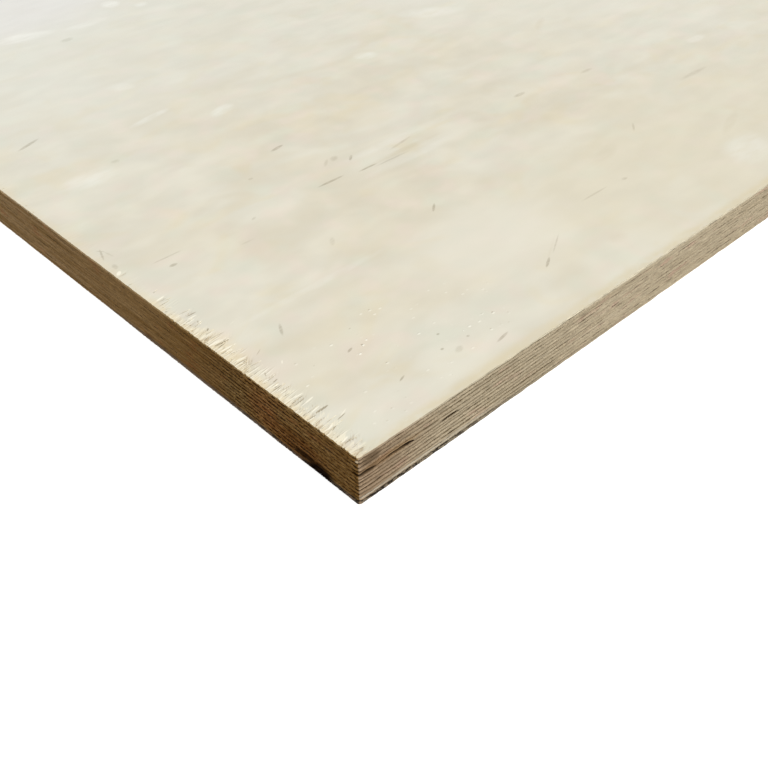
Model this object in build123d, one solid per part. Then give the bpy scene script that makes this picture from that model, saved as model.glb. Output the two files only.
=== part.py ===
from build123d import *
import os

# A birch plywood sheet, lying flat with its sanded good face up.
# Millimetres, +Z up. The origin is the centre of the underside, X runs along the grain of the
# face veneer and Y across it. The corner at -X, -Y is the worn one: there a glue line has
# opened, the saw has torn the face veneer and the lower edges are bruised.

# The sheet as it is sold
sheet_length = 2440.0
sheet_width = 1220.0
sheet_thickness = 18.0
ply_count = 13
face_veneer_thickness = 1.0

# Corners of the sheet: knocked a little in handling, and at the near one each ply wore
# by its own amount, so that the plies stand out from each other like the edge of a stack
corner_wear = 0.6
near_corner_wear = 1.3
near_corner_wear_shares = (0.8, 1.0, 0.5, 0.85, 0.45, 0.9, 0.5, 0.7, 0.35, 0.8, 0.4, 0.75, 0.5)

# Slits where the glue line under one long-grain ply is open, along the near long edge
slit_ply_number = 9
slit_zone_length = 39.0
slit_height = 1.0
slit_depth = 3.0
slit_start_shares = (0.25, 0.82)
slit_length_shares = (0.29, 0.18)
slit_height_shares = (0.95, 0.6)
corner_slit_length = 6.5
corner_slit_depth = 1.2

# Tears where the saw lifted fibres out of the face veneer along the near cross-cut end:
# each is a groove that is widest and deepest at the end and runs out along the grain
tear_zone_length = 130.0
tear_length = 8.0
tear_width = 1.1
tear_depth = 0.45
tear_place_shares = (0.06, 0.107, 0.165, 0.219, 0.288, 0.4, 0.5, 0.565, 0.607, 0.646, 0.74, 0.9)
tear_size_shares = (0.45, 0.5, 1.0, 0.8, 0.5, 0.7, 0.95, 0.6, 0.5, 0.85, 0.65, 0.5)
tear_lean_share = 0.06

# Breakout at the foot of the same end: splinters gone from the lowest plies
breakout_from_corner = 12.5
breakout_length = 10.0
breakout_height = 4.6
breakout_depth = 0.5
breakout_run = 13.0

# Bruise that crushed the lower edge of the near long side, worst at the corner
bruise_length = 80.0
bruise_height = 2.6
bruise_depth = 0.5

# Every cut starts this far outside the wood
overrun = 0.5

# Worked out from the sizes above
core_ply_thickness = (sheet_thickness - 2 * face_veneer_thickness) / (ply_count - 2)
end_x = -sheet_length / 2
side_y = -sheet_width / 2


# %% The stack of plies
def ply_name(number):
    """Name of a ply, counted from the underside: odd ones run along the sheet, even ones across."""
    if number == 1:
        return "back_veneer"
    if number == ply_count:
        return "face_veneer"
    direction = "long" if number % 2 else "cross"
    return f"{direction}_ply_{number:02d}"


def ply_bottom(number):
    """Height of a ply's underside above the floor."""
    if number == 1:
        return 0.0
    return face_veneer_thickness + (number - 2) * core_ply_thickness


def ply_top(number):
    """Height of a ply's upper side above the floor."""
    return sheet_thickness if number == ply_count else ply_bottom(number + 1)


def near_wear(number):
    """Corner radius of a ply at the worn corner."""
    return near_corner_wear * near_corner_wear_shares[(number - 1) % len(near_corner_wear_shares)]


def plain_ply(number):
    """One veneer, cut to the sheet's outline with its corners worn round."""
    outline = Rectangle(sheet_length, sheet_width)
    near = outline.vertices().sort_by_distance((end_x, side_y))[0]
    outline = fillet(near, near_wear(number))
    others = outline.vertices().sort_by_distance((end_x, side_y))[2:]
    outline = fillet(others, corner_wear)
    return Pos(0, 0, ply_bottom(number)) * extrude(outline, ply_top(number) - ply_bottom(number))


# %% What is missing from them at the worn corner
def wedge(base, tip):
    """Solid from a flat outline to a point, the shape that splitting wood leaves."""
    return loft([make_face(Polyline(*base, close=True)), Vertex(*tip)])


def slit(start, length, height, depth):
    """Flat lens cut in from the near long edge, with its lower side on the open glue line."""
    floor = ply_bottom(slit_ply_number)
    first = (start, floor)
    crown = (start + length / 2, floor + height)
    last = (start + length, floor)
    face = make_face([ThreePointArc(first, crown, last), Line(last, first)])
    return Pos(0, side_y + depth, 0) * extrude(Plane.XZ * face, depth + overrun)


def slits():
    """The slits of the open glue line. The first is centred on the corner, so that it wraps it."""
    tools = [slit(end_x - corner_slit_length, 2 * corner_slit_length, slit_height, corner_slit_depth)]
    for start_share, length_share, height_share in zip(slit_start_shares, slit_length_shares, slit_height_shares):
        start = end_x + start_share * slit_zone_length
        tools.append(slit(start, length_share * slit_zone_length, height_share * slit_height, slit_depth))
    return tools


def tears():
    """Grooves in the face veneer where the saw came out."""
    tools = []
    for place_share, size_share in zip(tear_place_shares, tear_size_shares):
        y = side_y + place_share * tear_zone_length
        half = size_share * tear_width / 2
        run = size_share * tear_length
        top = sheet_thickness + overrun * tear_depth / tear_length
        base = [
            (end_x, y - half, top),
            (end_x, y + half, top),
            (end_x, y, sheet_thickness - size_share * tear_depth),
        ]
        tools.append(wedge(base, (end_x + run, y + tear_lean_share * run, top)))
    return tools


def breakout():
    """Scoop out of the foot of the cross-cut end."""
    start = side_y + breakout_from_corner
    middle = start + breakout_length / 2
    base = [
        (end_x - overrun, start, -overrun),
        (end_x + breakout_depth, middle, -overrun),
        (end_x - overrun, start + breakout_length, -overrun),
    ]
    return wedge(base, (end_x - overrun, start + breakout_run, breakout_height))


def bruise():
    """Crushed lower arris of the near long side, running out away from the corner."""
    base = [
        (end_x - overrun, side_y - overrun, -overrun),
        (end_x - overrun, side_y + bruise_depth, -overrun),
        (end_x - overrun, side_y - overrun, bruise_height),
    ]
    return wedge(base, (end_x + bruise_length, side_y - overrun, -overrun))


def worn_ply(number):
    """One veneer with the damage that reaches it taken away."""
    ply = plain_ply(number)
    if number == slit_ply_number:
        for tool in slits():
            ply -= tool
    if number == ply_count:
        for tool in tears():
            ply -= tool
    if ply_bottom(number) < breakout_height:
        ply -= breakout()
    if ply_bottom(number) < bruise_height:
        ply -= bruise()
    return ply


# %% Writing the sheet
os.makedirs("parts", exist_ok=True)
for ply_number in range(1, ply_count + 1):
    export_step(worn_ply(ply_number), f"parts/{ply_name(ply_number)}.step")
    print(ply_name(ply_number), "from", round(ply_bottom(ply_number), 3), "to", round(ply_top(ply_number), 3))
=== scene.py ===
# %% [markdown]
# A sheet of birch plywood, seen close at one worn corner.
# The sheet is thirteen veneers glued face to face, so the model is thirteen thin pieces, and
# what gives it away as plywood is where they end: the long edge and the cross-cut end, where a
# saw has opened every ply and every glue line. The construction comes packed: each veneer is a
# smooth plate, with the large damage of one corner cut out of it. Here each plate gets its sawn
# edge, its torn fibres and its grain.

from math import cos, radians, sin

import bpy
import numpy as np
from mathutils import Matrix, Vector


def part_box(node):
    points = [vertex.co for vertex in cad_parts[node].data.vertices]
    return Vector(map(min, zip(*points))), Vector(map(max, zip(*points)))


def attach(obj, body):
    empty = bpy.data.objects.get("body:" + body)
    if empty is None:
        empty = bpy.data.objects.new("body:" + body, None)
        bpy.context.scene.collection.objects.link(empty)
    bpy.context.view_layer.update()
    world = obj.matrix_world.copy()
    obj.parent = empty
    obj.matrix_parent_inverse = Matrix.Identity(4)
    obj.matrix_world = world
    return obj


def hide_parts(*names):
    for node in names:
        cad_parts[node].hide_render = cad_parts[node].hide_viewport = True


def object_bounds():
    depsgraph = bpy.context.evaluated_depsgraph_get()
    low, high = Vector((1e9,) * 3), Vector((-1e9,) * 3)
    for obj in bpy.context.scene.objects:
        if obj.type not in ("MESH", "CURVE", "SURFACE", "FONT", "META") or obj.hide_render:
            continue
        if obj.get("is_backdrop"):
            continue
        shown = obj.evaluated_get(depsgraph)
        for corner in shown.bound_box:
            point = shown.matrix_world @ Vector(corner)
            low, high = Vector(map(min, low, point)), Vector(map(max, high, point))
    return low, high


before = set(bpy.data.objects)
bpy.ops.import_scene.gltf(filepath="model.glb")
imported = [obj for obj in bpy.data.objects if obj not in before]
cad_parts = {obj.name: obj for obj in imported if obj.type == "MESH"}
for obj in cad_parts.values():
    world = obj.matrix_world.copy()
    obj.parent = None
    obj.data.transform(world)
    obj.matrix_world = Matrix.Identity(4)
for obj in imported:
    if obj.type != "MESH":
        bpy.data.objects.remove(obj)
cad_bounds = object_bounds()

MM = 0.001
sheet_low = Vector(cad_bounds[0])
sheet_high = Vector(cad_bounds[1])
length = sheet_high.x - sheet_low.x
width = sheet_high.y - sheet_low.y
top = sheet_high.z
plies = sorted(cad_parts, key=lambda node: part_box(node)[0].z)
print(f"sheet {length / MM:.0f} x {width / MM:.0f} x {top / MM:.0f} mm, {len(plies)} plies: {plies}")

# %% [markdown]
# The camera stands where the photograph was taken from: low over the worn corner, looking
# along the diagonal. Four straight edges of one known thickness are enough to work a camera
# out, and the numbers below are that fit: its place from the foot of the corner, its heading
# from the long edge, its tilt down and a trace of roll.

# %% Camera
camera_from_corner = Vector((-123.7, -141.0, 206.5)) * MM
camera_heading = radians(46.6)
camera_tilt = radians(40.87)
camera_roll = radians(-0.51)
focal_pixels = 1003.7
frame_pixels = 768
sensor_width = 36.0


def in_scene(made):
    """An object, once it has been put into the scene."""
    bpy.context.scene.collection.objects.link(made)
    return made


level_ahead = Matrix.Rotation(camera_heading, 3, "Z") @ Vector((1, 0, 0))
side = level_ahead.cross(Vector((0, 0, 1)))
ahead = Matrix.Rotation(-camera_tilt, 3, side) @ level_ahead
side = Matrix.Rotation(-camera_roll, 3, ahead) @ side
camera_axes = Matrix((side, side.cross(ahead), -ahead)).transposed().to_4x4()

camera = in_scene(bpy.data.objects.new("camera", bpy.data.cameras.new("camera")))
camera.matrix_world = Matrix.Translation(sheet_low + camera_from_corner) @ camera_axes
camera.data.sensor_width = sensor_width
camera.data.lens = sensor_width * focal_pixels / frame_pixels
bpy.context.scene.camera = camera
print(f"lens {camera.data.lens:.1f} mm, {camera_from_corner.length / MM:.0f} mm from the corner")

# %% [markdown]
# The floor is plain and pale. The light is what a soft studio gives: one broad light, high and
# a little to the right of the camera, so that it fills the good face, grazes the long edge and
# leaves the cross-cut end to what the floor gives back; and a pale room all round. As the light
# stands on the camera's side, the shadow of the sheet falls behind it and the floor stays
# white. It is a sun, because a sun's light is the same all along a sheet of 2.4 m.

# %% Light
overhead_strength = 4.1
overhead_from = Vector((-0.1, -0.4, 1.0))
overhead_softness = radians(25)
room_strength = 0.25

overhead = in_scene(bpy.data.objects.new("overhead_light", bpy.data.lights.new("overhead_light", "SUN")))
overhead.data.energy = overhead_strength
overhead.data.angle = overhead_softness
overhead.rotation_euler = overhead_from.to_track_quat("Z", "Y").to_euler()

room = bpy.data.worlds.new("studio_room")
room.use_nodes = True
room.node_tree.nodes["Background"].inputs["Color"].default_value = (1.0, 1.0, 1.0, 1)
room.node_tree.nodes["Background"].inputs["Strength"].default_value = room_strength
bpy.context.scene.world = room
bpy.context.scene.view_settings.view_transform = "Standard"
print(f"one sun of {overhead_strength} and a room of {room_strength}")

# %% Floor
floor_size = 30.0

reach = floor_size / 2
floor_corners = [(-reach, -reach, 0), (reach, -reach, 0), (reach, reach, 0), (-reach, reach, 0)]
floor_mesh = bpy.data.meshes.new("floor")
floor_mesh.from_pydata(floor_corners, [], [(0, 1, 2, 3)])
floor = in_scene(bpy.data.objects.new("floor", floor_mesh))
floor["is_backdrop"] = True
print(f"a floor of {floor_size:.0f} m")


# %% [markdown]
# Materials are built from nodes. A tree of nodes is quick to read in the editor and slow to
# read in code, so small helpers keep each rule on one line: `add` makes any node and plugs it,
# and the others make the sums, patterns and colours that wood needs again and again.

# %% Nodes and sums
def add(tree, kind, plugs=None, **settings):
    """A node with its settings, and its inputs given by name or number as a value or a socket."""
    made = tree.nodes.new(kind)
    for name, value in settings.items():
        setattr(made, name, value)
    for key, value in (plugs or {}).items():
        if isinstance(value, bpy.types.NodeSocket):
            tree.links.new(value, made.inputs[key])
        else:
            made.inputs[key].default_value = value
    return made


def math(tree, operation, a, b=0.0, clamp=False):
    """One sum of two values."""
    return add(tree, "ShaderNodeMath", {0: a, 1: b}, operation=operation, use_clamp=clamp).outputs[0]


def product(tree, value, *others):
    """All values multiplied."""
    for other in others:
        value = math(tree, "MULTIPLY", value, other)
    return value


def total(tree, value, *others):
    """All values added."""
    for other in others:
        value = math(tree, "ADD", value, other)
    return value


def vector(tree, operation, *values):
    """One sum of vectors. A length and a dot product come out as a value."""
    made = add(tree, "ShaderNodeVectorMath", dict(enumerate(values)), operation=operation)
    return made.outputs["Value" if operation in ("LENGTH", "DOT_PRODUCT") else "Vector"]


def combined(tree, x=0.0, y=0.0, z=0.0):
    """A point of three coordinates."""
    return add(tree, "ShaderNodeCombineXYZ", {0: x, 1: y, 2: z}).outputs[0]


def separated(tree, place):
    """The three coordinates of a point."""
    return add(tree, "ShaderNodeSeparateXYZ", {0: place}).outputs


def in_millimetres(tree, place):
    """A place of the object, in millimetres from its origin."""
    return vector(tree, "MULTIPLY", place, (1 / MM, 1 / MM, 1 / MM))


def from_worn_corner(tree, place):
    """A place of the object, in millimetres from the foot of its worn corner."""
    return vector(tree, "SUBTRACT", in_millimetres(tree, place), tuple(sheet_low / MM))


def from_nearer(tree, along, span):
    """The distance to the nearer of two opposite sides of the sheet, in millimetres."""
    return math(tree, "MINIMUM", along, math(tree, "SUBTRACT", span / MM, along))


def between(tree, value, low, high, to_low=0.0, to_high=1.0):
    """A smooth step: to_low below low, to_high above high."""
    plugs = {"Value": value, "From Min": low, "From Max": high, "To Min": to_low, "To Max": to_high}
    return add(tree, "ShaderNodeMapRange", plugs, interpolation_type="SMOOTHSTEP").outputs[0]


def fading(tree, value, full, gone):
    """A smooth step down: 1 below the first value and 0 above the second."""
    return between(tree, value, full, gone, 1.0, 0.0)


def mixed(tree, share, first, second):
    """The first value going over to the second by a share from 0 to 1."""
    return add(tree, "ShaderNodeMix", {0: share, 2: first, 3: second}, data_type="FLOAT").outputs[0]


print("one node each:", [helper.__name__ for helper in (math, vector, combined, separated, between, mixed)])


# %% Patterns and colours
def noise(tree, place, sizes, detail=2.0, roughness=0.5, distortion=0.0, seed=0.0):
    """Cloudy noise from 0 to 1, mostly near a half. Its clouds are as large as the sizes say
    along each axis, and a size of 0 draws them out for ever. A seed that is a number moves the
    pattern, and one that is a socket is its fourth dimension."""
    scaled = vector(tree, "MULTIPLY", place, tuple(1 / size if size else 0 for size in sizes))
    plugs = {"Scale": 1.0, "Detail": detail, "Roughness": roughness, "Distortion": distortion}
    if isinstance(seed, bpy.types.NodeSocket):
        plugs |= {"Vector": scaled, "W": seed}
        return add(tree, "ShaderNodeTexNoise", plugs, noise_dimensions="4D").outputs[0]
    plugs |= {"Vector": vector(tree, "ADD", scaled, (seed, seed * 2, seed * 3))}
    return add(tree, "ShaderNodeTexNoise", plugs, noise_dimensions="3D").outputs[0]


def cells(tree, place, sizes):
    """Cells of a drawn-out Voronoi pattern: the way from each one's own point, in millimetres,
    and three random values of its own."""
    scaled = vector(tree, "MULTIPLY", place, (1 / sizes[0], 1 / sizes[1], 0))
    made = add(tree, "ShaderNodeTexVoronoi", {"Vector": scaled, "Scale": 1.0})
    offset = vector(tree, "SUBTRACT", scaled, made.outputs["Position"])
    draws = add(tree, "ShaderNodeSeparateColor", {0: made.outputs["Color"]}).outputs
    return vector(tree, "MULTIPLY", offset, (*sizes, 0)), draws


def blend(tree, share, first, second, kind="MIX"):
    """The first colour going over to the second by a share from 0 to 1."""
    plugs = {0: share}
    for key, colour in ((6, first), (7, second)):
        plugs[key] = (*colour, 1) if isinstance(colour, tuple) else colour
    return add(tree, "ShaderNodeMix", plugs, data_type="RGBA", blend_type=kind).outputs[2]


def times(tree, colour, factor):
    """A colour multiplied by a value or by another colour."""
    return blend(tree, 1.0, colour, factor, "MULTIPLY")


def tinted(tree, share, colour, tint):
    """A colour that is multiplied by a tint where the share is 1."""
    return blend(tree, share, colour, times(tree, colour, tint))


def new_material(name):
    """An empty material, its tree, its main shader and its object coordinates."""
    material = bpy.data.materials.new(name)
    material.use_nodes = True
    tree = material.node_tree
    return material, tree, tree.nodes["Principled BSDF"], add(tree, "ShaderNodeTexCoord").outputs["Object"]


def two_toned(name, pattern, span, tones, dullness):
    """A material of two tones that go over into each other in clouds, and its shader. The
    pattern gives the sizes, detail, roughness, distortion and seed of the noise."""
    material, tree, shader, place = new_material(name)
    share = between(tree, noise(tree, in_millimetres(tree, place), *pattern), *span)
    tree.links.new(blend(tree, share, *tones), shader.inputs["Base Color"])
    shader.inputs["Roughness"].default_value = dullness
    return material, shader


floor_pattern = ((500, 500, 500), 2, 0.5, 0.0, 0.0)
floor_tones = ((0.9, 0.9, 0.895), (0.92, 0.92, 0.915))
floor_material = two_toned("pale_floor", floor_pattern, (0.3, 0.7), floor_tones, 0.9)[0]
floor_mesh.materials.append(floor_material)
print("materials so far:", [m.name for m in bpy.data.materials])

# %% [markdown]
# The good face is rotary-cut birch, sanded. The knife peels the log like paper off a roll, so there are no
# rings, only wide soft clouds drawn out along the grain, and pith flecks: short brown dashes where a larva
# once ran in the living wood. The marks that the photograph shows are given one by one, as places from the
# corner. A pattern couldn't put them where they are, and a few dozen soft ovals are quick to read. Beyond the
# close-up, patterns take over.

# %% Flecks, in millimetres from the worn corner
# centre along and across, length, width, turn in degrees, darkness
pith_flecks = [
    (25, 221, 14.9, 2.3, 20, 0.8), (94, 149.5, 8.8, 2.2, 6, 0.9), (92, 115, 16.2, 1.6, -4, 0.9),
    (109, 113, 12.2, 1.4, 0, 0.8), (109.5, 123.3, 6.1, 1.6, 40, 0.8), (100, 127, 8.1, 2, 45, 0.4),
    (199, 114, 9.5, 2.9, 0, 0.6), (239, 109, 10.8, 3.2, 0, 0.45), (19, 115.5, 16.2, 1.1, -3, 0.6),
    (17.5, 110, 4.1, 2.2, 0, 0.8), (106, 75, 7.4, 1.4, 35, 0.85), (108, 24, 8.1, 1.4, 30, 0.95),
    (209, 62, 9.5, 1.4, 35, 0.5), (155, 40.5, 20.2, 1.3, 2, 0.45), (172, 39.5, 4.1, 2.2, 0, 0.5),
    (271, 74, 27, 3.6, 3, 0.4), (21, 57.8, 8.1, 1.6, 58, 0.7), (65, 83.8, 7.0, 2.7, 50, 0.4),
    (66.8, 8, 8.1, 1.3, 12, 0.9), (29.4, 35.6, 3.4, 1.2, 20, 0.95), (91, 304.5, 9.5, 5.4, 10, 0.45),
    (31.5, 15.5, 4.0, 0.9, 20, 0.9), (49.5, 16.7, 1.8, 1.2, 0, 0.8), (53.8, 22.6, 1.6, 1.1, 0, 0.8),
    (53.1, 13.2, 5.0, 3.0, 20, 0.5), (59.7, 15.6, 1.8, 1.2, 0, 0.8), (42.5, 185, 5.4, 3.6, 0, 0.4),
    (55, 114.5, 3.4, 1.4, 20, 0.55), (3.6, 132.0, 9.5, 1.1, 68, 0.7), (4.3, 134.4, 4.1, 0.9, 126, 0.6),
    (5.6, 130.8, 6.8, 1.1, 95, 0.4), (3.0, 122.9, 4.6, 2.7, 85, 0.5), (119, 29.5, 16.2, 0.9, 27, 0.5),
    (132, 118.5, 18.9, 1.8, 8, 0.5), (44, 104, 8.1, 1.1, 5, 0.35), (104.5, 127.5, 6.0, 4.0, 30, 0.5),
    (121, 111.5, 26.0, 1.4, 2, 0.5), (71.5, 137.5, 3.0, 2.0, 0, 0.5),
]
print(len(pith_flecks), "pith flecks put in by hand")

# %% Figure and tone of the veneer
# wide soft marks of the figure, given as flecks are; a darkness below zero is a pale mark
figure_patches = [
    (128, 113.5, 48, 4.5, 4, 0.85), (116, 29, 18, 1.4, 26, 0.35), (135, 122, 80, 7, 2, -0.35),
    (130, 108, 70, 6, 0, -0.3), (45, 68, 75, 4.0, 0, -0.3), (267, 159, 20, 5, 30, 0.55),
    (210, 182, 30, 9, 25, 0.4), (61, 130, 18, 8, -35, 0.4), (182, 56, 28, 8, 15, 0.4),
    (241, 37, 30, 5, 17, 0.5), (137, 17, 10, 7, 0, 0.4), (165, 230, 24, 16, 20, 0.35),
    (99, 192, 17, 8, 25, -0.8), (180, 191, 14, 10, -20, -0.7), (28, 180, 30, 14, 5, -0.7),
    (81, 241, 14, 10, -30, -0.6), (240, 207, 40, 16, -30, -0.7), (170, 111, 12, 20, 0, 0.3),
    (305, 95, 16, 7, 0, -0.5), (142, 319, 9, 8, 0, -0.8), (77, 322, 36, 13, -10, -1.3),
    (131, 330, 12, 12, 0, -1.3), (108, 315, 30, 9, 0, -0.7), (73, 207, 26, 5, 10, -0.8),
    (226, 20, 34, 22, 20, -0.5),
]
# wide zones with another tone: centre, length and width, strength, tone
tone_zones = [
    ((50, 400, 560, 520), 0.6, (0.59, 0.595, 0.54)),
    ((400, 230, 520, 420), 0.6, (0.598, 0.586, 0.51)),
    ((210, 40, 330, 110), 0.5, (0.56, 0.52, 0.405)),
    ((95, 370, 170, 130), 0.7, (0.60, 0.59, 0.57)),
    ((290, 240, 170, 80), 0.5, (0.585, 0.56, 0.505)),
    ((105, 45, 90, 56), 0.55, (0.594, 0.568, 0.487)),
]
print(len(figure_patches), "patches of figure and", len(tone_zones), "zones of tone")

# %% Strokes of the torn rim
# given as flecks are: above zero the painted shade of a split, below zero the painted highlight of a lifted
# fibre
tear_shade_and_highlight_strokes = [
    (6.2, 21.7, 6.0, 1.1, 4, 1.0), (2.0, 20.9, 4.0, 0.6, 4, 0.7), (3.4, 28.3, 6.5, 0.6, 6, 0.9),
    (4.4, 29.7, 5.0, 0.5, 3, 0.7), (3.0, 37.4, 4.5, 0.6, 4, 0.8), (4.5, 40.2, 3.0, 0.6, 10, 0.7),
    (2.8, 53.9, 6.0, 0.6, 3, 0.7), (9.2, 53.9, 5.0, 0.6, 33, 0.4), (3.4, 65.4, 5.5, 0.7, 3, 0.9),
    (3.2, 64.1, 4.5, 0.6, 8, 0.7), (4.8, 73.4, 2.0, 0.8, 45, 0.8), (5.3, 69.0, 8.0, 0.5, 5, 0.5),
    (3.0, 33.4, 2.5, 0.6, 30, 0.6), (4.2, 44.4, 2.5, 0.7, 60, 0.6), (1.4, 23.3, 3.0, 0.6, 10, 0.7),
    (3.2, 13.4, 4.0, 0.6, 20, 0.7), (8.0, 15.6, 5.5, 0.6, 10, 0.6), (3.0, 7.1, 4.5, 0.6, 10, 0.6),
    (3.0, 51.0, 5.5, 0.5, 6, 0.5), (5.8, 83.4, 5.5, 0.8, 4, 0.6), (3.8, 95.9, 4.0, 0.5, 8, 0.5),
    (5.0, 78.8, 1.8, 0.9, 50, 0.5), (1.6, 10.2, 3.5, 0.5, 6, 0.6), (2.0, 46.6, 3.5, 0.5, 8, 0.6),
    (3.8, 61.9, 8.0, 0.8, 3, -1.0), (2.6, 60.5, 5.5, 0.7, 4, -0.9), (6.0, 27.0, 5.0, 0.8, 8, -0.9),
    (3.0, 66.4, 6.0, 0.7, 4, -0.9), (5.2, 30.6, 4.5, 0.6, 5, -0.8), (9.6, 16.5, 5.0, 0.7, 25, -0.5),
    (11.3, 45.4, 2.6, 0.8, 50, -0.5), (2.8, 38.5, 4.5, 0.6, 5, -0.8), (4.8, 22.9, 5.0, 0.6, 8, -0.7),
    (2.8, 55.1, 6.0, 0.7, 4, -0.8), (3.2, 14.6, 4.0, 0.7, 15, -0.9), (2.6, 8.2, 4.0, 0.7, 12, -0.8),
    (1.8, 118.6, 3.4, 1.8, 40, -0.9), (3.6, 97.2, 4.5, 0.7, 10, -0.8), (5.0, 82.0, 5.0, 0.8, 4, -0.7),
    (5.3, 77.9, 2.0, 0.9, 50, -0.9), (12.5, 71.0, 4.0, 0.6, 8, -0.35), (2.4, 42.2, 3.5, 0.7, 10, -0.8),
]
rim_width = 14.0 * MM
print(len(tear_shade_and_highlight_strokes), "strokes within", round(rim_width / MM), "mm of the end")

# %% Soft oval marks
turn_step = 10


def marked(tree, place, marks, core=0.0):
    """The sum of soft oval marks, each as strong in its middle as its darkness says. Marks are
    turned to the nearest ten degrees, so that many share the same turned coordinates."""
    turned = {}
    share = 0.0
    for x, y, mark_length, mark_width, turn, darkness in marks:
        turn = radians(turn_step * round(turn / turn_step))
        along, across = (cos(turn), sin(turn), 0), (-sin(turn), cos(turn), 0)
        if turn not in turned:
            parts = [vector(tree, "DOT_PRODUCT", place, way) for way in (along, across)]
            turned[turn] = combined(tree, *parts)
        scale = (2 / mark_length, 2 / mark_width, 0)
        shift = (-(x * along[0] + y * along[1]) * scale[0], -(x * across[0] + y * across[1]) * scale[1], 0)
        away = vector(tree, "MULTIPLY_ADD", turned[turn], scale, shift)
        squared = vector(tree, "DOT_PRODUCT", away, away)
        share = math(tree, "ADD", share, between(tree, squared, core, 1.0, darkness, 0.0))
    return share


turns = {round(mark[4] / turn_step) for mark in pith_flecks + figure_patches + tear_shade_and_highlight_strokes}
print("the marks share", len(turns), "turns")


# %% [markdown]
# The ground of the face is a pale cream with soft tones over it, each a noise of its own: honey
# in clouds that are drawn out along the grain, and small clouds of a little green and a little
# pink. Fine fibres lie on top. Where the photograph doesn't reach, paler zones keep the long
# sheet from looking the same all over.

# %% Ground colour of birch
# sizes of the pattern in millimetres, detail, roughness, distortion, seed, strength and tone
birch_tones = (
    ((30, 18, 50), 2, 0.55, 0.7, 5.0, 0.5, (0.548, 0.488, 0.35)),
    ((15, 15, 20), 1, 0.5, 0.0, 35.0, 0.42, (0.52, 0.53, 0.435)),
    ((13, 13, 20), 1, 0.5, 0.0, 37.0, 0.42, (0.585, 0.508, 0.43)),
)


def out_of_view(tree, place, start=380.0, full=460.0):
    """A share that is 0 over the corner that the photograph shows and 1 further on."""
    return between(tree, vector(tree, "LENGTH", place), start, full)


def birch(tree, place):
    """Colour of a sanded birch veneer, with its clouds, tones and fibres."""
    clouds = noise(tree, place, (60, 30, 50), 2, 0.55, 0.7, 1.0)
    colour = blend(tree, between(tree, clouds, 0.35, 0.65), (0.536, 0.495, 0.393), (0.556, 0.53, 0.442))
    broad = between(tree, noise(tree, place, (700, 320, 0), 2, 0.5, 0.0, 59.0), 0.45, 0.62, 0.0, 0.7)
    broad = product(tree, broad, out_of_view(tree, place, 400.0, 700.0))
    colour = blend(tree, broad, colour, (0.59, 0.58, 0.51))
    for sizes, detail, roughness, distortion, seed, strength, tone in birch_tones:
        pattern = noise(tree, place, sizes, detail, roughness, distortion, seed)
        colour = blend(tree, between(tree, pattern, 0.5, 0.72, 0.0, strength), colour, tone)
    mottle = noise(tree, place, (22, 15, 9), 2, 0.5, 0.3, 9.0)
    colour = times(tree, colour, between(tree, mottle, 0.3, 0.72, 0.962, 1.038))
    fibres = noise(tree, place, (7, 0.35, 2), 3, 0.6, 0.0, 3.0)
    return blend(tree, between(tree, fibres, 0.52, 0.8, 0.0, 0.13), colour, (0.48, 0.43, 0.33))


print("birch has", len(birch_tones), "soft tones over its clouds")


# %% Flecks and figure
# length and width of a cell, and how far its dash reaches along and across, in millimetres
fleck_cell = (42, 18)
fleck_reach = (3.5, 0.6)


def with_scattered_flecks(tree, colour, place):
    """Pith flecks on the rest of the sheet: a few cells of a drawn-out pattern hold one short dash."""
    offset, draws = cells(tree, place, fleck_cell)
    dash = vector(tree, "LENGTH", vector(tree, "DIVIDE", offset, (*fleck_reach, 1)))
    chosen = product(tree, between(tree, draws[0], 0.72, 0.95), out_of_view(tree, place))
    share = product(tree, between(tree, dash, 0.4, 1.0, 0.8, 0.0), chosen)
    return blend(tree, share, colour, (0.27, 0.18, 0.09))


def reaching(marks, rim):
    """The marks that reach into the rim of the sheet, or the ones that reach inside it."""
    sides = [(min(x, y) - size / 2, min(x, y) + size / 2) for x, y, size, _, _, _ in marks]
    inner = rim_width / MM
    return [mark for mark, (low, high) in zip(marks, sides) if (low < inner if rim else high > inner)]


def with_marks(tree, colour, place, rim):
    """The tones, figure and flecks that the photograph shows."""
    for zone, strength, tone in tone_zones:
        colour = blend(tree, marked(tree, place, [(*zone, 0, strength)]), colour, tone)
    soft_edge = between(tree, noise(tree, place, (12, 4, 1), 3, 0.6, 0.0, 8.0), 0.25, 0.7, 0.3, 1.3)
    figure = product(tree, marked(tree, place, reaching(figure_patches, rim)), soft_edge)
    for strength, tone in ((0.35, (0.43, 0.375, 0.26)), (-0.5, (0.67, 0.665, 0.61))):
        colour = blend(tree, math(tree, "MULTIPLY", figure, strength, clamp=True), colour, tone)
    ragged = between(tree, noise(tree, place, (3, 0.8, 1), 2, 0.6, 0.0, 7.0), 0.35, 0.6, 0.55, 1.0)
    flecks = between(tree, marked(tree, place, reaching(pith_flecks, rim)), 0.0, 0.9)
    return tinted(tree, product(tree, flecks, ragged), colour, (0.70, 0.68, 0.64))


for name, marks in (("flecks", pith_flecks), ("patches", figure_patches)):
    print(f"{name}: {len(reaching(marks, True))} in the rim, {len(reaching(marks, False))} inside it")


# %% [markdown]
# A sander leaves nicks: tiny chips out of the wood, with a lip where the fibres stand up. Their relief is a
# fine bump, and their light and shade are painted: a pale painted highlight on the lip, on the side towards
# the light, and dark painted shade in the pit, on the side away from it. They come in patches, one of them
# beside the corner. Each is a cell of a Voronoi pattern that is thinned out twice, by chance and by clumps,
# so that they don't look sown.

# %% Nicks of the sander
nick_cell = (3.4, 2.8)
# the patch beside the corner that has most of the nicks, given as flecks are
nick_patch = (42, 24, 100, 60, 0, 1.0)
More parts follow.
